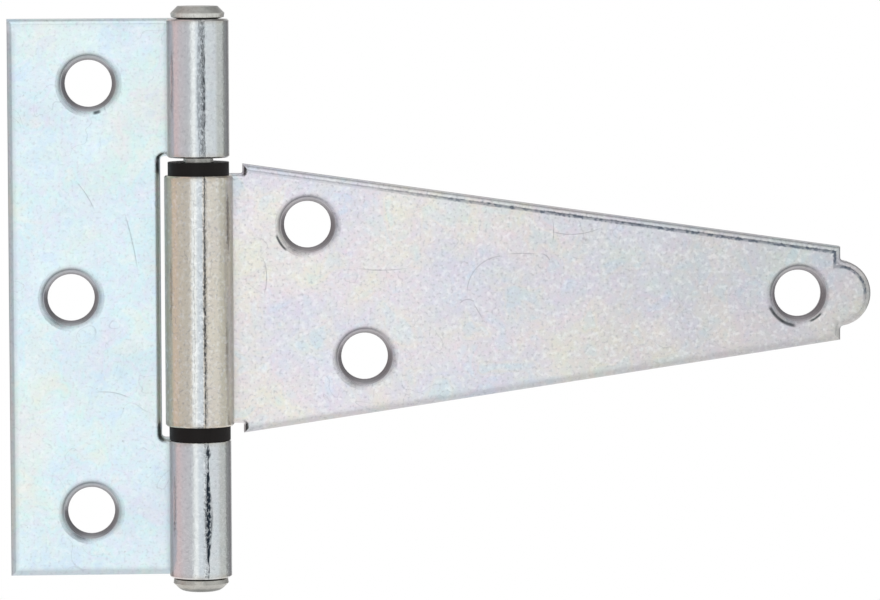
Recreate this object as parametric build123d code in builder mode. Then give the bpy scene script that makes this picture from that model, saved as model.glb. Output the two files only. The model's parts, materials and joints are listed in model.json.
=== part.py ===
from build123d import *
from math import asin, atan, degrees, sqrt
import os

os.makedirs("parts", exist_ok=True)

# A zinc-plated T hinge for a gate or a shed door, in millimetres, lying open.
# +Z runs along the pin and the strap points to +X. Both leaves have their backs on the plane
# Y = 0, and the rolled knuckles stand out at the front, towards -Y.
# The origin is on the butt leaf's back, midway between its two outer screw holes.

# The pin, and the two sheets that are rolled round it
pin_diameter = 4.76
bore_clearance = 0.07
butt_sheet = 2.5
strap_sheet = 3.0
curl_gap = 0.12

# The butt leaf, a rectangle with a notch for the strap's knuckle. The clearance lets the back
# of the strap swing a little past square without touching the side of the notch.
butt_height = 88.9
butt_reach = 30.2
notch_height = 45.0
notch_clearance = 0.52
notch_corner = 0.65
joggle_length = 3.0

# The strap leaf, a long taper with a shoulder and a round nose
strap_reach = 107.9
root_setback = 1.7
root_step = 1.55
root_corner = 0.3
shoulder_setback = 4.9
shoulder_width = 15.0
nose_radius = 5.3
nose_corner = 0.6

# Screw holes, which taper from the front to a short straight land at the back
screw_radius = 3.75
screw_mouth = 4.45
screw_land = 0.8
outer_screw_spacing = 68.3
outer_screw_setback = 17.3
middle_screw_setback = 20.3
upper_screw_reach = 17.5
upper_screw_rise = 11.7
lower_screw_reach = 26.55
lower_screw_drop = 9.5
tip_screw_setback = 11.6

# Edges: the punch rolls the front ones over and dishes the mouths of the screw holes, and the
# back ones are only broken
die_roll = 0.95
dish_width = 0.85
dish_depth = 0.3
edge_break = 0.25

# Black washers, one on each end of the strap's knuckle. The strap hangs down on the lower one,
# so nearly all of its end play is above the upper one.
washer_radius = 4.88
washer_thickness = 2.1
washer_bore_clearance = 0.12
end_play = 0.75
seat_play = 0.15

# Pin heads, a chamfered one above and one peened over below. Each stands off its knuckle by
# a neck, which widens out of the rolled edge of the bore.
neck_sink = 0.2
neck_height = 0.3
head_waist = 0.1
head_bulge = 0.65
top_head_radius = 4.3
top_head_flat = 3.2
top_head_height = 2.05
top_head_round = 0.8
peened_head_radius = 4.4
peened_head_flat = 3.1
peened_head_height = 2.25
peened_head_round = 2.0

# Places that follow from the sizes above
bore_radius = pin_diameter / 2 + bore_clearance
washer_bore = pin_diameter / 2 + washer_bore_clearance
butt_roll = bore_radius + butt_sheet
strap_roll = bore_radius + strap_sheet
pin_x = outer_screw_setback
pin_y = -max(butt_roll, strap_roll)
butt_joggle = -pin_y - butt_roll
joggle_x = pin_x - joggle_length
butt_edge_x = pin_x - butt_reach
notch_x = pin_x - strap_roll - notch_clearance
notch_depth = pin_x + butt_roll - notch_x
knuckle_length = notch_height - 2 * washer_thickness - end_play - seat_play
strap_middle = (seat_play - end_play) / 2
root_x = pin_x + strap_roll + root_setback
root_width = knuckle_length + 2 * root_step
tip_x = pin_x + strap_reach
shoulder_x = tip_x - shoulder_setback
nose_width = 2 * sqrt(nose_radius**2 - (nose_radius - shoulder_setback) ** 2)
through = 4 * strap_roll
pin_axis = Axis((pin_x, pin_y, 0), (0, 0, 1))
strap_back = Plane(origin=(0, 0, strap_middle), x_dir=(1, 0, 0), z_dir=(0, -1, 0))


def curl_sweep(roll, sheet):
    """Angle that a sheet is rolled through, from its back round to just short of its own face."""
    return 270 + degrees(asin((-pin_y - sheet - curl_gap) / roll))


def taper_angle(sheet):
    """Included angle of the cone of a screw hole in a sheet."""
    return 2 * degrees(atan((screw_mouth - screw_radius) / (sheet - screw_land)))


def face_outline(part, sheet, seam_x):
    """The edges round a plate's front face, less the seam where it runs into its own roll."""
    faced = part.edges().filter_by(lambda edge: abs(edge.center().Y + sheet) < 0.001)
    return faced.filter_by(lambda edge: abs(edge.center().X - seam_x) > 0.001)


def back_outline(part, seam_x):
    """The edges round a plate's back, less the seam where it runs into its own roll."""
    backed = part.edges().filter_by(lambda edge: abs(edge.center().Y) < 0.001)
    return backed.filter_by(lambda edge: abs(edge.center().X - seam_x) > 0.001)


def hole_mouths(part):
    """The rims of the screw holes at the front."""
    rims = part.edges().filter_by(GeomType.CIRCLE)
    return rims.filter_by(lambda edge: abs(edge.radius - screw_mouth) < 0.001)


def plate_front(part):
    """The flat front of a plate."""
    return part.faces().filter_by(Axis.Y).sort_by(Axis.Y)[0]


def corners_at(sketch, x, height):
    """The two corners of an outline that mirror each other at a given x."""
    return sketch.vertices().filter_by(
        lambda corner: abs(corner.X - x) < 0.001 and abs(abs(corner.Y) - height / 2) < 0.001
    )


# Butt leaf: one piece of sheet, flat at first, stepped forward by the difference of the two
# rolls, and then rolled round the pin until its edge comes back to its own face.
with BuildPart() as butt_leaf:
    with BuildSketch(Plane.XY.offset(-butt_height / 2)):
        with BuildLine():
            back = Line((butt_edge_x, 0), (joggle_x, 0))
            middle = (joggle_x + joggle_length / 2, -butt_joggle / 2)
            bend = TangentArc(back @ 1, middle, tangent=(1, 0))
            TangentArc(bend @ 1, (pin_x, -butt_joggle), tangent=bend % 1)
            offset(amount=butt_sheet, side=Side.RIGHT)
        make_face()
        with BuildLine():
            sweep = curl_sweep(butt_roll, butt_sheet)
            outside = CenterArc((pin_x, pin_y), butt_roll, 90, -sweep)
            inside = CenterArc((pin_x, pin_y), bore_radius, 90, -sweep)
            Line(outside @ 0, inside @ 0)
            Line(outside @ 1, inside @ 1)
        make_face()
    extrude(amount=butt_height)
    with BuildSketch(Plane.XZ):
        with Locations((notch_x, 0)):
            Rectangle(2 * notch_depth, notch_height, align=(Align.MIN, Align.CENTER))
        fillet(vertices().group_by(Axis.X)[0], notch_corner)
    extrude(amount=through / 2, both=True, mode=Mode.SUBTRACT)
    fillet(face_outline(butt_leaf, butt_sheet, joggle_x), die_roll)
    chamfer(back_outline(butt_leaf, joggle_x), edge_break)
    with Locations(Plane.XZ.offset(butt_sheet)):
        with Locations(
            (0, outer_screw_spacing / 2),
            (0, -outer_screw_spacing / 2),
            (pin_x - middle_screw_setback, 0),
        ):
            CounterSinkHole(screw_radius, screw_mouth, butt_sheet, taper_angle(butt_sheet))
    chamfer(hole_mouths(butt_leaf), dish_width, dish_depth, reference=plate_front(butt_leaf))

# Strap leaf: a second piece of sheet, rolled the other way. Its outline is cut right through
# the rolled sheet, which leaves the rolled strip narrower than the root of the taper.
with BuildPart() as strap_leaf:
    with BuildSketch(Plane.XY.offset(strap_middle - root_width / 2)):
        with Locations((pin_x, 0)):
            Rectangle(strap_reach, strap_sheet, align=(Align.MIN, Align.MAX))
        with BuildLine():
            sweep = curl_sweep(strap_roll, strap_sheet)
            outside = CenterArc((pin_x, pin_y), strap_roll, 90, sweep)
            inside = CenterArc((pin_x, pin_y), bore_radius, 90, sweep)
            Line(outside @ 0, inside @ 0)
            Line(outside @ 1, inside @ 1)
        make_face()
    extrude(amount=root_width)
    with BuildSketch(strap_back) as strap_outline:
        with BuildLine():
            Polyline(
                (pin_x - strap_roll, 0),
                (pin_x - strap_roll, knuckle_length / 2),
                (root_x, knuckle_length / 2),
                (root_x, root_width / 2),
                (shoulder_x, shoulder_width / 2),
                (shoulder_x, nose_width / 2),
            )
            RadiusArc((shoulder_x, nose_width / 2), (tip_x, 0), nose_radius)
            mirror(about=Plane.XZ)
        make_face()
        fillet(corners_at(strap_outline, root_x, knuckle_length), root_corner)
        fillet(corners_at(strap_outline, shoulder_x, nose_width), nose_corner)
    extrude(amount=through / 2, both=True, mode=Mode.INTERSECT)
    fillet(face_outline(strap_leaf, strap_sheet, pin_x), die_roll)
    chamfer(back_outline(strap_leaf, pin_x), edge_break)
    with Locations(strap_back.offset(strap_sheet)):
        with Locations(
            (pin_x + upper_screw_reach, upper_screw_rise),
            (pin_x + lower_screw_reach, -lower_screw_drop),
            (tip_x - tip_screw_setback, 0),
        ):
            CounterSinkHole(screw_radius, screw_mouth, strap_sheet, taper_angle(strap_sheet))
    chamfer(hole_mouths(strap_leaf), dish_width, dish_depth, reference=plate_front(strap_leaf))

# Hinge pin: plain rod with a chamfered head on top, put through all three knuckles from above
# and peened over below them.
with BuildPart() as hinge_pin:
    with BuildSketch(Plane(origin=(pin_x, pin_y, 0), x_dir=(1, 0, 0), z_dir=(0, -1, 0))):
        knuckle_end = butt_height / 2
        head_rim = knuckle_end + neck_height
        head_widest = head_rim + head_bulge
        top_end = knuckle_end + top_head_height
        peened_end = knuckle_end + peened_head_height
        with BuildLine():
            Polyline(
                (0, -peened_end),
                (peened_head_flat, -peened_end),
                (peened_head_radius, -head_widest),
                (peened_head_radius - head_waist, -head_rim),
                (pin_diameter / 2, neck_sink - knuckle_end),
                (pin_diameter / 2, knuckle_end - neck_sink),
                (top_head_radius - head_waist, head_rim),
                (top_head_radius, head_widest),
                (top_head_flat, top_end),
                (0, top_end),
                close=True,
            )
        make_face()
        levels = vertices().group_by(Axis.Y)
        fillet(levels[0].sort_by(Axis.X)[-1], peened_head_round)
        fillet(levels[-1].sort_by(Axis.X)[-1], top_head_round)
    revolve(axis=pin_axis)

# Washers: black nylon rings. One lies on the strap's knuckle and turns with it, and the other
# lies on the butt's lower knuckle, so each end of the strap's knuckle runs on nylon.
with BuildPart() as upper_washer:
    with BuildSketch(Plane(origin=(pin_x, pin_y, strap_middle + knuckle_length / 2))):
        Circle(washer_radius)
        Circle(washer_bore, mode=Mode.SUBTRACT)
    extrude(amount=washer_thickness)

with BuildPart() as lower_washer:
    with BuildSketch(Plane(origin=(pin_x, pin_y, -notch_height / 2))):
        Circle(washer_radius)
        Circle(washer_bore, mode=Mode.SUBTRACT)
    extrude(amount=washer_thickness)

butt_leaf.part.label = "butt_leaf"
strap_leaf.part.label = "strap_leaf"
hinge_pin.part.label = "hinge_pin"
upper_washer.part.label = "upper_washer"
lower_washer.part.label = "lower_washer"
export_step(butt_leaf.part, "parts/butt_leaf.step")
export_step(strap_leaf.part, "parts/strap_leaf.step")
export_step(hinge_pin.part, "parts/hinge_pin.step")
export_step(upper_washer.part, "parts/upper_washer.step")
export_step(lower_washer.part, "parts/lower_washer.step")
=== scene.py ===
import json
from math import cos, degrees, hypot, radians, sin

import bmesh
import bpy
from mathutils import Matrix, Vector


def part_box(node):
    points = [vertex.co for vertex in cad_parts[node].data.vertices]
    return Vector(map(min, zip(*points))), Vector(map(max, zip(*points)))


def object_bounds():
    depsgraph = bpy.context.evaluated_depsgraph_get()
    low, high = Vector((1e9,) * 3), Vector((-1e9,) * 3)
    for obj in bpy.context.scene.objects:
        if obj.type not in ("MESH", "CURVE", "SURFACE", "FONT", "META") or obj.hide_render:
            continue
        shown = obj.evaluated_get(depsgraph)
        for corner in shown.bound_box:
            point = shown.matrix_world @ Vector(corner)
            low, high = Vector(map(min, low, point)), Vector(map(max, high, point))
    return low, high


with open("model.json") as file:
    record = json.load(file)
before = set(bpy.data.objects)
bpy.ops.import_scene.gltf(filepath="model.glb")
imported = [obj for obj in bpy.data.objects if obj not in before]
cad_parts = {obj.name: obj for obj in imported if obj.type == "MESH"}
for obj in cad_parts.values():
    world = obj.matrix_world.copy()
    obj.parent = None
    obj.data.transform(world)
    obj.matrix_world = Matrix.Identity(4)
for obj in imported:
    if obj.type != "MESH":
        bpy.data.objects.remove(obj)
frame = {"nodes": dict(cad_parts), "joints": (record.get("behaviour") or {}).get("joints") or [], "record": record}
cad_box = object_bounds()

# The camera stands a metre off, a little to the left of the hinge and a little above it. Its
# long lens keeps the leaves almost free of perspective.
photo_width = 880
view_target = Vector((0.05589, -0.002, -0.00084))
view_distance = 1.0
view_azimuth = radians(-3.75)
view_elevation = radians(4.3)
view_roll = radians(-0.23)
view_reach = 20
pixels_per_metre = 6251

towards_camera = Vector(
    (
        sin(view_azimuth) * cos(view_elevation),
        -cos(view_azimuth) * cos(view_elevation),
        sin(view_elevation),
    )
)
lens_shot = bpy.data.cameras.new("camera")
lens_shot.lens = pixels_per_metre * view_distance * lens_shot.sensor_width / photo_width
lens_shot.clip_end = view_reach
camera = bpy.data.objects.new("camera", lens_shot)
camera.rotation_euler = (
    towards_camera.to_track_quat("Z", "Y").to_matrix() @ Matrix.Rotation(view_roll, 3, "Z")
).to_euler()
camera.location = view_target + view_distance * towards_camera
bpy.context.scene.collection.objects.link(camera)
bpy.context.scene.camera = camera
bpy.context.scene.view_settings.view_transform = "Standard"


# The studio is a tent of white cloth, brightest behind the camera. It is open in a slit at the
# camera's right, which the polished rolls of the hinge mirror as a dark line. To the camera
# itself the cloth is plain white.
class Socket:
    """The output of a node. A sum, product or root that is written with it adds Math nodes."""

    def __init__(self, shader, output):
        self.shader = shader
        self.output = output

    def __add__(self, other):
        return self.shader.maths("ADD", self, other)

    def __sub__(self, other):
        return self.shader.maths("SUBTRACT", self, other)

    def __mul__(self, other):
        return self.shader.maths("MULTIPLY", self, other)

    def __truediv__(self, other):
        return self.shader.maths("DIVIDE", self, other)

    def __pow__(self, other):
        return self.shader.maths("POWER", self, other)

    def __abs__(self):
        return self.shader.maths("ABSOLUTE", self)

    def __radd__(self, other):
        return self.shader.maths("ADD", other, self)

    def __rsub__(self, other):
        return self.shader.maths("SUBTRACT", other, self)

    def __rmul__(self, other):
        return self.shader.maths("MULTIPLY", other, self)


class Shader:
    """The nodes of one material, or of the world."""

    def __init__(self, owner):
        self.owner = owner
        owner.use_nodes = True
        self.tree = owner.node_tree
        self.tree.nodes.clear()

    def node(self, kind, settings, inputs, output=None):
        """Adds a node of any kind. Its settings come first, then what its sockets take."""
        made = self.tree.nodes.new("ShaderNode" + kind)
        for name, setting in settings.items():
            if name == "stops":
                band = made.color_ramp.elements
                while len(band) < len(setting):
                    band.new(1)
                for stop, (position, colour) in zip(band, setting):
                    stop.position = position
                    stop.color = colour
            else:
                setattr(made, name, setting)
        sockets = {socket.identifier: socket for socket in made.inputs}
        for name, value in inputs.items():
            if isinstance(value, Socket):
                self.tree.links.new(value.output, sockets[name])
            else:
                sockets[name].default_value = value
        for socket in made.outputs:
            if socket.identifier == output:
                return Socket(self, socket)

    def maths(self, operation, *values):
        """Adds a Math node that works on these values."""
        inputs = dict(zip(("Value", "Value_001"), values))
        return self.node("Math", {"operation": operation}, inputs, "Value")

    def rise(self, value, start, end):
        """0 where the value is below start, 1 where it is above end, and smooth between."""
        smooth = {"interpolation_type": "SMOOTHSTEP"}
        span = {"Value": value, "From Min": start, "From Max": end}
        return self.node("MapRange", smooth, span, "Result")

    def fall(self, value, start, end):
        """1 where the value is below start, 0 where it is above end, and smooth between."""
        return 1 - self.rise(value, start, end)

    def mix(self, factor, first, second):
        """Mixes two colours."""
        inputs = {"Factor_Float": factor, "A_Color": first, "B_Color": second}
        return self.node("Mix", {"data_type": "RGBA"}, inputs, "Result_Color")


# What hangs round the hinge, by the angle from the camera's side towards its right
tent_panels = (
    (-180, (0.85, 0.85, 0.86)),
    (-156, (0.80, 0.80, 0.81)),
    (-144, (0.42, 0.41, 0.41)),
    (-127, (0.42, 0.40, 0.40)),
    (-119, (0.84, 0.76, 0.75)),
    (-84, (0.78, 0.70, 0.70)),
    (-74, (0.72, 0.71, 0.73)),
    (-32, (0.66, 0.67, 0.68)),
    (-23, (1.22, 1.23, 1.24)),
    (2, (1.26, 1.27, 1.28)),
    (14, (1.22, 1.23, 1.24)),
    (34, (0.88, 0.89, 0.89)),
    (104, (0.80, 0.82, 0.82)),
    (111, (0.34, 0.34, 0.34)),
    (146, (0.32, 0.31, 0.32)),
    (162, (0.85, 0.85, 0.86)),
    (180, (0.85, 0.85, 0.86)),
)
half_turn = 180
white = (1, 1, 1, 1)
black = (0, 0, 0, 1)

# The slit, in degrees. Above lean_start its left side leans over towards the camera, as far as
# slit_least.
slit_colour = (0.012, 0.022, 0.035, 1)
slit_left = 17.5
slit_right = 22.5
slit_blur = 1.3
slit_lean = 0.58
slit_least = 4.0
lean_start = -8
slit_top = 26
top_blur = 3
slit_foot = -45
foot_blur = 4
roof_start = 62
roof_end = 80
roof_shade = 0.22

tent = Shader(bpy.data.worlds.new("light_tent"))
bpy.context.scene.world = tent.owner
way = tent.node("TexCoord", {}, {}, "Generated")
way_x, way_y, way_z = (tent.node("SeparateXYZ", {}, {"Vector": way}, axis) for axis in "XYZ")
round_way = tent.maths("ARCTAN2", way_x, 0 - way_y) * degrees(1)
up_way = tent.maths("ARCSINE", way_z) * degrees(1)
panel_stops = []
for angle, colour in tent_panels:
    panel_stops.append(((angle + half_turn) / (2 * half_turn), (*colour, 1)))
turned = (round_way + half_turn) / (2 * half_turn)
cloth = tent.node("ValToRGB", {"stops": panel_stops}, {"Fac": turned}, "Color")
near_side = slit_left - (up_way - lean_start) * slit_lean
near_side = tent.maths("MINIMUM", tent.maths("MAXIMUM", near_side, slit_least), slit_left)
slit = tent.rise(round_way - near_side, -slit_blur, slit_blur)
slit = slit * tent.fall(round_way, slit_right - slit_blur, slit_right + slit_blur)
slit = slit * tent.rise(up_way, slit_foot - foot_blur, slit_foot)
slit = slit * tent.fall(up_way, slit_top - top_blur, slit_top + top_blur)
cloth = tent.mix(slit, cloth, slit_colour)
overhead = roof_shade * tent.rise(abs(up_way), roof_start, roof_end)
cloth = tent.mix(overhead, cloth, black)
seen = tent.node("LightPath", {}, {}, "Is Camera Ray")
cloth = tent.mix(seen, cloth, white)
light = tent.node("Background", {}, {"Color": cloth}, "Background")
tent.node("OutputWorld", {}, {"Surface": light})

# The floor is a round of pale card below the hinge. Where nothing shades it the camera sees
# it white, and the hinge's shadow stays on it.
floor_drop = 0.065
floor_radius = 0.35
floor_sides = 96
floor_card = (0.84, 0.84, 0.84, 1)
floor_lift = 0.42
floor_x = (cad_box[0][0] + cad_box[1][0]) / 2
floor_z = cad_box[0][2] - floor_drop

card = bmesh.new()
bmesh.ops.create_circle(card, cap_ends=True, segments=floor_sides, radius=floor_radius)
bmesh.ops.translate(card, verts=card.verts, vec=(floor_x, 0, floor_z))
floor_mesh = bpy.data.meshes.new("floor")
card.to_mesh(floor_mesh)
card.free()
floor = bpy.data.objects.new("floor", floor_mesh)
bpy.context.scene.collection.objects.link(floor)

bench = Shader(bpy.data.materials.new("floor_card"))
floor_mesh.materials.append(bench.owner)
lift = 0
for ray in ("Is Camera Ray", "Is Glossy Ray", "Is Transmission Ray"):
    lift = lift + floor_lift * bench.node("LightPath", {}, {}, ray)
matt = bench.node("BsdfDiffuse", {}, {"Color": floor_card}, "BSDF")
glow = bench.node("Emission", {}, {"Strength": lift}, "Emission")
lit_card = bench.node("AddShader", {}, {"Shader": matt, "Shader_001": glow}, "Shader")
bench.node("OutputMaterial", {}, {"Surface": lit_card})

# The butt leaf is one sheet of mild steel, blanked, rolled round the pin and then barrel
# plated in zinc. The pale passivation over the zinc drifts between blue, green and lilac, the
# rolled knuckles are smoother, and the punched edges are duller. Painted reflections, highlights
# and shade stand in for light on the knuckles, along the die-rolled rims and round the holes.
millimetres = 1000
mounts = {mount["name"]: mount for mount in frame["record"]["mounts"]}
pin_x, pin_y, _ = (millimetres * place for place in frame["joints"][0]["pos_m"])
hole_mouth = 4.45
dish_radius = 5.3
die_roll = 0.95
butt_sheet = 2.5
butt_roll = 4.95
butt_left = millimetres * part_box("butt_leaf")[0][0]
butt_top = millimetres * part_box("butt_leaf")[1][2]
butt_middle = 0
butt_notch = 22.5
butt_spread = mounts["butt_screws"]["dims"]["spacing_y_mm"] / 2


def shown(red, green, blue):
    """The colour, as light, that a screen shows as these three numbers out of 255."""
    light = []
    for level in (red / 255, green / 255, blue / 255):
        light.append(level / 12.92 if level < 0.04045 else ((level + 0.055) / 1.055) ** 2.4)
    return (*light, 1)


# What the film, the die, the punch and wear leave on both leaves, and the painted reflections,
# highlights and shade that stand in for light on them: the strength of each, and its colour on
# a screen
# A darker tint towards the tip, along X
tip_darkening = (0.32, shown(162, 160, 154))
# A painted highlight down the front of each roll, and a darker painted reflection in its middle
painted_highlight = (0.8, shown(212, 216, 215))
painted_reflection_grey = (0.8, shown(180, 188, 194))
# An olive painted reflection on the right side of each roll
olive_reflection = (0.34, shown(158, 154, 132))
# Tan painted shade at the rounded ends of each roll
end_shade_tan = (0.5, shown(176, 158, 132))
crease_shade = (1, shown(112, 106, 98))
dark_grain = (0.4, shown(158, 160, 166))
white_bloom = (0.32, shown(250, 252, 252))
# The painted dark reflection of the tent's slit down the knuckles
painted_dark_black = (1, shown(40, 50, 60))
# Painted shade in the band inside a die-rolled rim
rim_shade_grey = (0.33, shown(140, 142, 144))
hair_grey = (0.3, shown(96, 98, 110))
speck_grey = (0.34, shown(110, 112, 118))
cut_steel = (1, shown(150, 148, 150))
torn_steel = (0.35, shown(118, 114, 112))
dish_shade = (1, shown(84, 82, 86))
# Painted shade in the cone of a screw hole
cone_shade_grey = (0.7, shown(136, 130, 134))
# A painted dark reflection in the dish round a screw hole
dish_reflection_black = (0.85, shown(44, 52, 56))

# Where they start or end, in millimetres: in from the front of a sheet, and at its back
front_ends = (0.2 * die_roll, die_roll)
face_ends = (die_roll, die_roll + 0.3)
flank_starts = (0.7 * die_roll, die_roll)
flank_ends = (-0.3, -0.15)

# Out from the surface of a roll, across it from the pin's axis, and in from its ends
roll_ends = (0.1, 0.9)
painted_highlight_starts = (-1.6, -1.1)
painted_reflection_starts = (-0.8, -0.2)
front_band_ends = (0.25, 0.6)
end_shade_reach = (0.2, 1.1)

# Out from the axis of a screw hole, in from the outline of a leaf, and along X
cone_ends = (hole_mouth - 0.05, hole_mouth + 0.1)
dish_ends = (hole_mouth, dish_radius - 0.15)
lee_ends = (dish_radius, dish_radius + 1)
rim_ends = (0.6, 1.6)
tip_darkening_span = (35, 130)

# As shares of the radius of a roll, and of the thickness of a sheet
left_reflection_ends = (-0.8, 0.1)
olive_starts = (0.5, 0.64)
olive_ends = (0.8, 0.9)
left_crease_ends = (-0.99, -0.86)
right_crease_starts = (0.84, 0.96)
torn_starts = (0.55, 0.62)

# As levels of the noise that they follow, which swings about its middle
noise_middle = 0.5
grain_shows = (0.5, 0.72)
bloom_shows = (0.48, 0.72)
mottle_shows = (0.4, 0.56)
curls_show = (0.56, 0.62)
curl_width = (0.001, 0.006)

# The side of a screw hole that the light leaves darker, as a direction in x and z, and the
# share of it that counts
lee_x = -0.6
lee_z = 0.8
lee_shows = (-0.2, 0.9)


def hole_place(name):
    """Where a screw hole's axis crosses the leaf, as x and z in millimetres."""
    x, _, z = mounts[name]["pos_m"]
    return (millimetres * x, millimetres * z)


class Zinc(Shader):
    """Zinc plate, worked out in millimetres in the hinge's own frame."""

    def __init__(self, name):
        super().__init__(bpy.data.materials.new(name))
        place = self.node("TexCoord", {}, {}, "Object")
        grown = {"Vector": place, "Scale": millimetres}
        self.place = self.node("VectorMath", {"operation": "SCALE"}, grown, "Vector")
        self.x, self.y, self.z = (
            self.node("SeparateXYZ", {}, {"Vector": self.place}, axis) for axis in "XYZ"
        )
        self.tint = None

    def length(self, across, along):
        """The length of the straight line with these two sides."""
        return (across * across + along * along) ** 0.5

    def noise(self, spacing, seed, detail=2, distortion=0, stretch=(1, 1, 1), output="Fac"):
        """Cloudy noise with lumps about this many millimetres apart."""
        squeezed = tuple(1 / (spacing * side) for side in stretch)
        laid = {"Vector": self.place, "Scale": squeezed, "Location": seed}
        moved = self.node("Mapping", {}, laid, "Vector")
        cloud = {"Vector": moved, "Scale": 1, "Detail": detail, "Distortion": distortion}
        return self.node("TexNoise", {}, cloud, output)

    def clouds(self, spacing, tints, seed):
        """Patches of these tints that run into each other."""
        lowest = 0.34
        highest = 0.66
        step = (highest - lowest) / (len(tints) - 1)
        stops = [(lowest + step * number, shown(*tint)) for number, tint in enumerate(tints)]
        drift = self.noise(spacing, seed, detail=2.5, distortion=0.5)
        return self.node("ValToRGB", {"stops": stops}, {"Fac": drift}, "Color")

    def paint(self, mask, layer):
        """Lays a layer, which is a strength and a colour, over the tint where the mask is."""
        strength, colour = layer
        self.tint = self.mix(strength * mask, self.tint, colour)

    def finish(self, roughness, height):
        """Joins the surface up. The height of its relief is in millimetres."""
        bumps = {"Height": height, "Distance": 1 / millimetres, "Strength": 1}
        relief = self.node("Bump", {}, bumps, "Normal")
        metal = {"Base Color": self.tint, "Metallic": 1, "Roughness": roughness, "Normal": relief}
        surface = self.node("BsdfPrincipled", {}, metal, "BSDF")
        self.node("OutputMaterial", {}, {"Surface": surface})


class Leaf(Zinc):
    """The finish of a leaf, which is one sheet with screw holes, rolled round the pin."""

    def __init__(self, name, sheet, roll, middle, holes):
        super().__init__(name)
        self.roll = roll
        self.middle = middle
        self.grain = self.noise(spacing=0.5, seed=(5, 1, 8), detail=4)
        self.bloom = self.noise(spacing=0.7, seed=(1, 7, 3), detail=4)
        self.patches = self.noise(spacing=1.6, seed=(3, 6, 2), detail=3)
        self.streaks = self.noise(spacing=0.35, seed=(4, 4, 0), stretch=(1, 6, 1))
        self.offset = self.x - pin_x
        from_pin = self.length(self.offset, self.y - pin_y)
        self.rolled = self.fall(from_pin, *(roll + height for height in roll_ends))
        depth = self.y + sheet
        self.front = self.fall(depth, *front_ends)
        self.faced = self.fall(depth, *face_ends)
        flank = self.rise(depth, *flank_starts) * self.fall(self.y, *flank_ends)
        self.cut = flank * (1 - self.rolled)
        self.torn = self.cut * self.rise(depth, *(share * sheet for share in torn_starts))
        nearest = None
        self.lee = 0
        for x, z in holes:
            reach = self.length(self.x - x, self.z - z)
            side = (lee_z * (self.z - z) + lee_x * (self.x - x)) / reach
            self.lee = self.lee + side * self.fall(reach, *lee_ends)
            nearest = self.maths("MINIMUM", reach, nearest) if nearest else reach
        self.sunk = self.fall(nearest, *cone_ends)
        self.dished = self.fall(nearest, *dish_ends) * (1 - self.sunk) * self.faced

    def across_roll(self, shares):
        """Where these shares of the roll's radius lie, across from the pin's axis."""
        return (share * self.roll for share in shares)

    def inside(self, corners, nose=None):
        """How far inside the leaf's blanked outline a point lies. The corners are those of its
        upper half, clockwise, and the nose is the x and the radius of a strap's round end."""
        across = abs(self.z - self.middle)
        inset = None
        for (x, z), (next_x, next_z) in zip(corners, corners[1:]):
            side = (self.x - x) * (next_z - z) - (across - z) * (next_x - x)
            side = side / hypot(next_x - x, next_z - z)
            inset = self.maths("MINIMUM", inset, side) if inset else side
        if nose:
            nose_x, nose_radius = nose
            cap = nose_radius - self.length(self.x - nose_x, self.z - self.middle)
            inset = self.maths("MAXIMUM", inset, cap)
        return inset

    def scratch(self, x, z, radius, first, last, width=0.11):
        """A line along an arc about x and z, from one heading to another in degrees. It fades
        over its last few degrees, and across half its width."""
        fade = 8
        core = 0.2
        across = self.x - x
        along = self.z - z
        off = abs(self.length(across, along) - radius)
        heading = self.maths("ARCTAN2", along, across) * degrees(1)
        taper = min(fade, (last - first) / 3)
        run = self.rise(heading, first, first + taper) * self.fall(heading, last - taper, last)
        return run * self.fall(off, core * width, width)

    def specks(self, spacing, size, share, seed):
        """Small round marks in some of the cells of a grid that has been shaken."""
        faint_share = 0.6
        core = 0.4
        moved = self.node("Mapping", {}, {"Vector": self.place, "Location": seed}, "Vector")
        cell = {"Vector": moved, "Scale": 1 / spacing}
        apart = self.node("TexVoronoi", {}, cell, "Distance")
        pick = self.node("TexVoronoi", {}, cell, "Color")
        lot = self.node("SeparateColor", {}, {"Color": pick}, "Red")
        chosen = self.rise(lot, 1 - share, 1 - faint_share * share)
        return chosen * self.fall(apart, core * size / spacing, size / spacing)

    def film(self, wide_tints, small_tints, seed):
        """The passivation, which drifts in wide and small patches, and a tint that darkens along X towards the
        tip.
        """
        small_share = 0.45
        rainbow_share = 0.09
        sway = 6
        wide = self.clouds(spacing=15, tints=wide_tints, seed=seed)
        small = self.clouds(spacing=5, tints=small_tints, seed=(7, 3, 5))
        self.tint = self.mix(small_share, wide, small)
        rainbow = self.noise(spacing=1.3, seed=(2, 9, 4), detail=3, output="Color")
        self.tint = self.mix(rainbow_share, self.tint, rainbow)
        along = self.x + sway * self.noise(spacing=9, seed=(5, 5, 1))
        self.paint(self.rise(along, *tip_darkening_span), tip_darkening)

    def knuckle(self, roll_tint, left_reflection_tint, ends):
        """The roll in its own tint, with painted reflections on it: warm on its left side, a highlight
        and a darker band down its front, olive on its right side. Its ends carry tan painted
        shade, and its creases and edges painted shade.
        """
        left_reflection_share = 0.75
        left_share = 0.62
        right_share = 0.5
        mottled = 0.55 + 0.5 * self.patches
        ragged = self.offset + 1.5 * self.patches
        self.paint(self.rolled * mottled, (1, roll_tint))
        # A warm painted reflection on the roll's left side
        flank = self.fall(ragged, *self.across_roll(left_reflection_ends))
        self.paint(self.rolled * flank, (left_reflection_share, left_reflection_tint))
        # A painted highlight down the roll's front, and a darker painted reflection in its middle
        front_band = self.rolled * self.fall(self.offset, *front_band_ends)
        self.paint(front_band * self.rise(self.offset, *painted_highlight_starts), painted_highlight)
        self.paint(front_band * self.rise(self.offset, *painted_reflection_starts), painted_reflection_grey)
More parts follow.
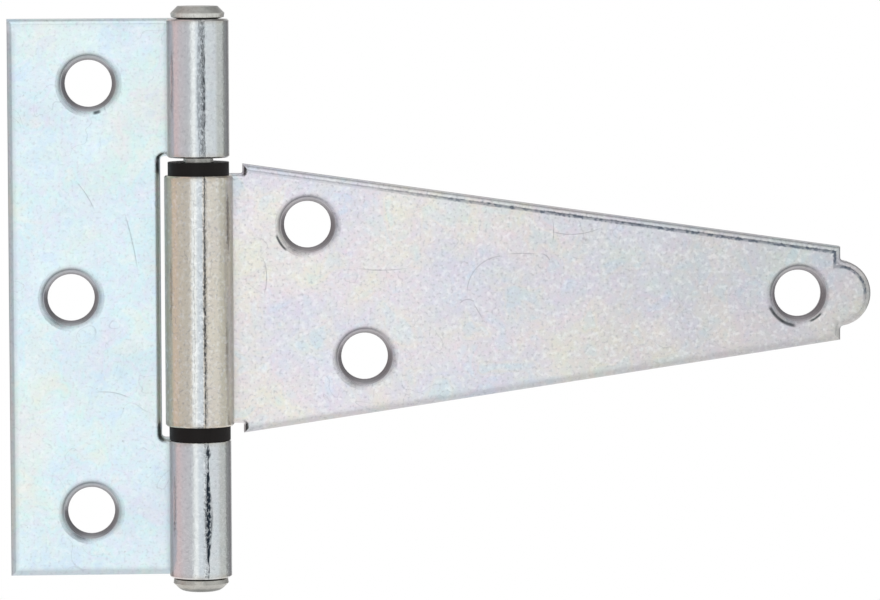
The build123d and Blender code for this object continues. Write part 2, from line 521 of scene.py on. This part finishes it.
        # An olive painted reflection on the roll's right side
        olive = self.rise(self.offset, *self.across_roll(olive_starts))
        olive = olive * self.fall(self.offset, *self.across_roll(olive_ends))
        self.paint(self.rolled * olive, olive_reflection)
        # Tan painted shade at the roll's rounded ends
        end_shade = 0
        for end in ends:
            end_shade = end_shade + self.fall(abs(abs(self.z - self.middle) - end), *end_shade_reach)
        self.paint(self.rolled * end_shade * self.patches, end_shade_tan)
        # Painted shade in the roll's creases and along its edges
        left = left_share * self.fall(self.offset, *self.across_roll(left_crease_ends))
        right = right_share * self.rise(self.offset, *self.across_roll(right_crease_starts))
        self.paint(self.rolled * (left + right), crease_shade)

    def crystals(self, strength):
        """The crystals of the plate: dark grain, and a white bloom between it."""
        self.paint(strength * self.rise(self.grain, *grain_shows), dark_grain)
        self.paint(strength * self.rise(self.bloom, *bloom_shows), white_bloom)

    def painted_dark_lines(self, lines):
        """Dark, broken lines painted down the front of a knuckle, mostly the painted reflection of the
        tent's slit. Each has its place across the roll, half its width, how far it wanders, its
        foot, its top and its strength."""
        mottle_share = 0.65
        tapered = 0.65
        core = 0.5
        edge = 1.2
        fade = 1
        wander = self.noise(spacing=1.5, seed=(6, 2, 5), stretch=(3, 3, 1)) - noise_middle
        line_mottle = self.noise(spacing=0.34, seed=(2, 4, 9), detail=3, stretch=(1, 1, 2))
        line_mottle = self.rise(line_mottle, *mottle_shows)
        painted_dark = 0
        for place, half, sway, foot, top, strength in lines:
            halfway = (foot + top) / 2
            swell = self.rise(self.z, foot, halfway) * self.fall(self.z, halfway, top)
            off = abs(self.offset - place + sway * wander)
            off = off / (1 - tapered + tapered * swell)
            strip = self.rise(self.z, foot, foot + fade) * self.fall(self.z, top - fade, top)
            painted_dark = painted_dark + strength * strip * self.fall(off, core * half, edge * half)
        painted_dark = self.rolled * self.front * painted_dark
        self.paint(painted_dark * (1 - mottle_share + mottle_share * line_mottle), painted_dark_black)

    def rim(self, inset, bright_from):
        """The band inside the rim that the die rolled over, painted with shade up to a height and
        lighter above it.
        """
        bright_share = 0.8
        fade = 1
        ragged = inset + 0.5 * (self.grain - noise_middle)
        rim_shade = self.fall(ragged, *rim_ends) * (1 - self.rolled)
        upper = self.rise(self.z, bright_from, bright_from + fade)
        # Painted shade, lighter above a height
        self.paint(rim_shade * self.faced * (1 - bright_share * upper), rim_shade_grey)

    def wear(self, hairlines):
        """Scratches, which are faint curls and single hairlines, and specks."""
        faintness = 0.6
        curls = self.noise(spacing=7, seed=(11, 0, 3), detail=1, distortion=1.2)
        curls = self.fall(abs(curls - noise_middle), *curl_width)
        some = self.rise(self.noise(spacing=9, seed=(3, 8, 1), detail=1), *curls_show)
        self.hairs = faintness * (curls * some * self.front)
        for arc in hairlines:
            self.hairs = self.hairs + self.scratch(*arc) * self.front
        large = self.specks(spacing=3.2, size=0.2, share=0.3, seed=(1, 4, 2))
        small = self.specks(spacing=1.4, size=0.14, share=0.12, seed=(6, 2, 9))
        self.marks = large + small
        self.paint(self.hairs, hair_grey)
        self.paint(self.marks, speck_grey)

    def punched(self, dish_arcs):
        """The cut edges, streaked by the punch and torn at the back, the screw holes with painted
        shade in their dishes and cones, and short dark arcs of painted reflection round them."""
        streaked = 0.35 + 0.4 * self.streaks
        shaded = 0.42 + 0.45 * self.rise(self.lee, *lee_shows)
        uneven = 0.5 + self.patches
        self.paint(self.cut * streaked, cut_steel)
        self.paint(self.torn, torn_steel)
        self.paint(self.dished * shaded, dish_shade)
        # Painted shade in the hole's cone
        self.paint(self.sunk, cone_shade_grey)
        dish_reflection = 0
        for arc in dish_arcs:
            dish_reflection = dish_reflection + self.scratch(*arc) * self.faced
        # Dark arcs of painted reflection in the dishes
        self.paint(dish_reflection * uneven, dish_reflection_black)

    def plated(self):
        """Ends the finish with its gloss and its relief. The rolls are smoother than the plates,
        but they carry the marks of their die."""
        plate_roughness = 0.25
        clouding = 0.14
        roll_polish = 0.13
        dish_polish = 0.1
        cut_roughness = 0.12
        torn_roughness = 0.1
        grain_height = 0.007
        die_mark_height = 0.03
        roll_grain_height = 0.026
        tear_height = 0.012
        scratch_depth = 0.012
        speck_depth = 0.008
        roughness = plate_roughness + clouding * self.noise(spacing=6, seed=(9, 2, 2), detail=3)
        roughness = roughness - roll_polish * self.rolled - dish_polish * self.dished
        roughness = roughness + cut_roughness * self.cut + torn_roughness * self.torn
        die_marks = die_mark_height * self.noise(spacing=2.6, seed=(1, 1, 1))
        height = self.rolled * (die_marks + roll_grain_height * self.grain)
        height = grain_height * self.grain + height + tear_height * self.torn * self.streaks
        height = height - scratch_depth * self.hairs - speck_depth * self.marks
        self.finish(roughness, height)


butt_drift = ((221, 227, 241), (209, 233, 242), (217, 237, 245), (217, 238, 235), (229, 233, 227))
butt_patches = ((209, 225, 243), (221, 237, 239), (225, 225, 237), (211, 237, 239), (231, 235, 229))
butt_holes = ((0, butt_spread), (0, -butt_spread), hole_place("butt_middle_screw"))
butt_corners = ((butt_left, 0), (butt_left, butt_top), (pin_x, butt_top))
butt_bright_from = butt_top - 2.5
# Painted dark reflections of the tent's slit down the butt's knuckles
butt_dark_lines = (
    (0.3, 0.75, 0.3, 18, 48, 0.5),
    (0.92, 0.16, 0.4, 21.5, 43.8, 0.6),
    (1.1, 0.26, 0.3, -46, -21, 0.9),
    (1.1, 0.7, 0.4, -42, -27, 0.9),
    (1.15, 0.45, 0.1, -25.6, -23, 0.9),
)

# Scratches, and dark arcs of painted reflection round screw holes, each an arc: its middle,
# its radius, two headings and half its width
butt_hairlines = (
    (-51.8, -3.95, 60, 7, 18),
    (-14, 8, 16, 20, 44, 0.09),
    (2, -24, 9, 60, 100, 0.09),
)
butt_dish_arcs = ((0, butt_spread, 4.75, -84, -64, 0.42),)

butt_zinc = Leaf("butt_zinc_plate", butt_sheet, butt_roll, butt_middle, butt_holes)
butt_zinc.film(butt_drift, butt_patches, seed=(0.4, 0.2, 0.7))
# The second tint is the warm painted reflection on the roll's left side
butt_zinc.knuckle(shown(216, 219, 222), shown(222, 206, 208), (butt_top, butt_notch))
butt_zinc.crystals(strength=0.65)
butt_zinc.painted_dark_lines(butt_dark_lines)
butt_zinc.rim(butt_zinc.inside(butt_corners), butt_bright_from)
butt_zinc.wear(butt_hairlines)
butt_zinc.punched(butt_dish_arcs)
butt_zinc.plated()
frame["nodes"]["butt_leaf"].material_slots[0].material = butt_zinc.owner

# The strap leaf is a second, thicker sheet, made and plated the same way. Its film is a touch
# thicker, so it drifts between lilac, rose, cream and aqua, and it came off the barrel with
# more hairlines. Along its upper edge a dark line is painted, a painted reflection in the
# die-rolled edge.
strap_sheet = 3.0
strap_roll = 5.45
strap_middle = -0.3
strap_bright_from = strap_middle + 2
strap_knuckle_end = 19.95
root_corner = (24.45, 21.5)
shoulder_corner = (120.3, 7.5)
strap_corners = (root_corner, shoulder_corner, (shoulder_corner[0], 0))
strap_nose_radius = 5.3
strap_nose = (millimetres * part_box("strap_leaf")[1][0] - strap_nose_radius, strap_nose_radius)
upper_x, upper_z = hole_place("strap_upper_screw")
tip_x, tip_z = hole_place("strap_tip_screw")
strap_holes = ((upper_x, upper_z), (tip_x, tip_z), hole_place("strap_lower_screw"))
strap_drift = ((214, 226, 232), (214, 216, 230), (222, 219, 226), (230, 222, 222), (228, 226, 214))
strap_patches = ((212, 224, 238), (228, 218, 226), (222, 222, 228), (232, 228, 218), (210, 228, 230))
# The painted dark reflection of the slit down the strap's knuckle, and a fainter dark line left of it
strap_dark_lines = (
    (0.74, 0.24, 0.3, -23, 20.5, 0.85),
    (-0.9, 0.12, 0.8, -20, 19, 0.3),
)
strap_hairlines = (
    (18.9, 3.1, 9.25, -19, 19),
    (46.8, 29.6, 25.5, -102.5, -78),
    (66.0, 0.4, 5.8, 90, 178),
    (69.0, -23.4, 30, 84, 96),
    (72.0, 5.0, 1.5, 15, 80),
    (60.3, -2.3, 1.6, 50, 145),
    (36.0, -17.65, 30, 26.6, 33.4),
    (77.0, 21.1, 11.5, -108, -63),
    (64.1, 10.1, 10, -13, 13),
)
strap_dish_arcs = (
    (upper_x, upper_z, 5.3, -166, -128, 0.28),
    (tip_x, tip_z, 5.15, -160, -94, 0.42),
    (tip_x, tip_z, 4.75, -72, -38, 0.26),
)

# The dark line painted along the upper edge as a reflection, by how far in it lies, how wide it
# is, how high it starts, where it darkens along X, and the levels of the bloom that break it up
edge_reflection_inset = 0.98
edge_reflection_width = (0.1, 0.38)
edge_reflection_starts = (strap_middle - 2, strap_middle + 1)
edge_reflection_darkens = (38, 66)
edge_reflection_breaks = (0.38, 0.62)
edge_reflection_blue = (1, shown(72, 84, 100))

strap_zinc = Leaf("strap_zinc_plate", strap_sheet, strap_roll, strap_middle, strap_holes)
strap_zinc.film(strap_drift, strap_patches, seed=(0.1, 0.6, 0.3))
# The second tint is the warm painted reflection on the roll's left side
strap_zinc.knuckle(shown(222, 214, 199), shown(217, 206, 179), [strap_knuckle_end])
strap_zinc.crystals(strength=1.1)
strap_zinc.painted_dark_lines(strap_dark_lines)
strap_inset = strap_zinc.inside(strap_corners, strap_nose)
strap_zinc.rim(strap_inset, strap_bright_from)
edge_reflection = abs(strap_inset - edge_reflection_inset + 0.6 * (strap_zinc.grain - noise_middle))
edge_reflection = strap_zinc.fall(edge_reflection, *edge_reflection_width) * strap_zinc.faced
edge_reflection = edge_reflection * strap_zinc.rise(strap_zinc.z, *edge_reflection_starts)
edge_reflection_growth = 0.18 + 0.56 * strap_zinc.rise(strap_zinc.x, *edge_reflection_darkens)
edge_reflection_breaks_up = 0.6 + 0.6 * strap_zinc.rise(strap_zinc.bloom, *edge_reflection_breaks)
strap_zinc.paint(edge_reflection * edge_reflection_growth * edge_reflection_breaks_up, edge_reflection_blue)
strap_zinc.wear(strap_hairlines)
strap_zinc.punched(strap_dish_arcs)
strap_zinc.plated()
frame["nodes"]["strap_leaf"].material_slots[0].material = strap_zinc.owner

# The pin is steel rod with a duller plate. Its top head was formed with a chamfer, and the
# bottom one was peened over cold, so both carry the small dents of the tool.
pin_drift = ((206, 206, 202), (216, 216, 210), (226, 226, 220), (212, 208, 200))
pin_speckle = (0.3, shown(128, 124, 118))
pin_speckle_shows = (0.5, 0.7)
bevel_shade_grey = (0.36, shown(120, 121, 120))
bevel_starts = (butt_top + 0.85, butt_top + 1.2)
peened_grey = (0.45, shown(138, 134, 126))
peened_starts = (-butt_top - 0.15, -butt_top + 0.05)
peened_rim_grey = (0.7, shown(96, 98, 96))
peened_rim_starts = (-butt_top - 1.75, -butt_top - 1.25)

pin_zinc = Zinc("pin_zinc_plate")
pin_zinc.tint = pin_zinc.clouds(spacing=2.4, tints=pin_drift, seed=(3, 1, 2))
pin_grain = pin_zinc.noise(spacing=0.3, seed=(2, 2, 6), detail=3)
pin_dents = pin_zinc.noise(spacing=0.9, seed=(8, 1, 1))
pin_zinc.paint(pin_zinc.rise(pin_grain, *pin_speckle_shows), pin_speckle)
# Painted shade on the top head's chamfer
pin_zinc.paint(pin_zinc.rise(pin_zinc.z, *bevel_starts), bevel_shade_grey)
pin_zinc.paint(pin_zinc.fall(pin_zinc.z, *peened_starts), peened_grey)
peened_rim = pin_zinc.fall(pin_zinc.z + 0.3 * pin_dents, *peened_rim_starts)
pin_zinc.paint(peened_rim, peened_rim_grey)
pin_roughness = 0.34 + 0.14 * pin_grain
pin_relief = 0.03 * pin_dents + 0.012 * pin_grain
pin_zinc.finish(pin_roughness, pin_relief)
frame["nodes"]["hinge_pin"].material_slots[0].material = pin_zinc.owner

# The washers are moulded rings of black nylon, slipped over the pin at the two ends of the
# strap's knuckle. Their skin is satin with a fine grain, and one material serves both.
nylon_grains_per_metre = 900
nylon_grain_height = 0.00002
nylon_specular = 0.2
nylon_dark = shown(10, 7, 6)
nylon_pale = shown(22, 16, 14)

nylon = Shader(bpy.data.materials.new("black_nylon"))
nylon_place = nylon.node("TexCoord", {}, {}, "Object")
nylon_cloud = {"Vector": nylon_place, "Scale": nylon_grains_per_metre, "Detail": 2}
nylon_grain = nylon.node("TexNoise", {}, nylon_cloud, "Fac")
nylon_roughness = 0.4 + 0.2 * nylon_grain
nylon_bumps = {"Height": nylon_grain, "Distance": nylon_grain_height, "Strength": 1}
nylon_skin = {
    "Base Color": nylon.mix(nylon_grain, nylon_dark, nylon_pale),
    "Roughness": nylon_roughness,
    "Specular IOR Level": nylon_specular,
    "Normal": nylon.node("Bump", {}, nylon_bumps, "Normal"),
}
nylon_surface = nylon.node("BsdfPrincipled", {}, nylon_skin, "BSDF")
nylon.node("OutputMaterial", {}, {"Surface": nylon_surface})
for washer in ("upper_washer", "lower_washer"):
    frame["nodes"][washer].material_slots[0].material = nylon.owner
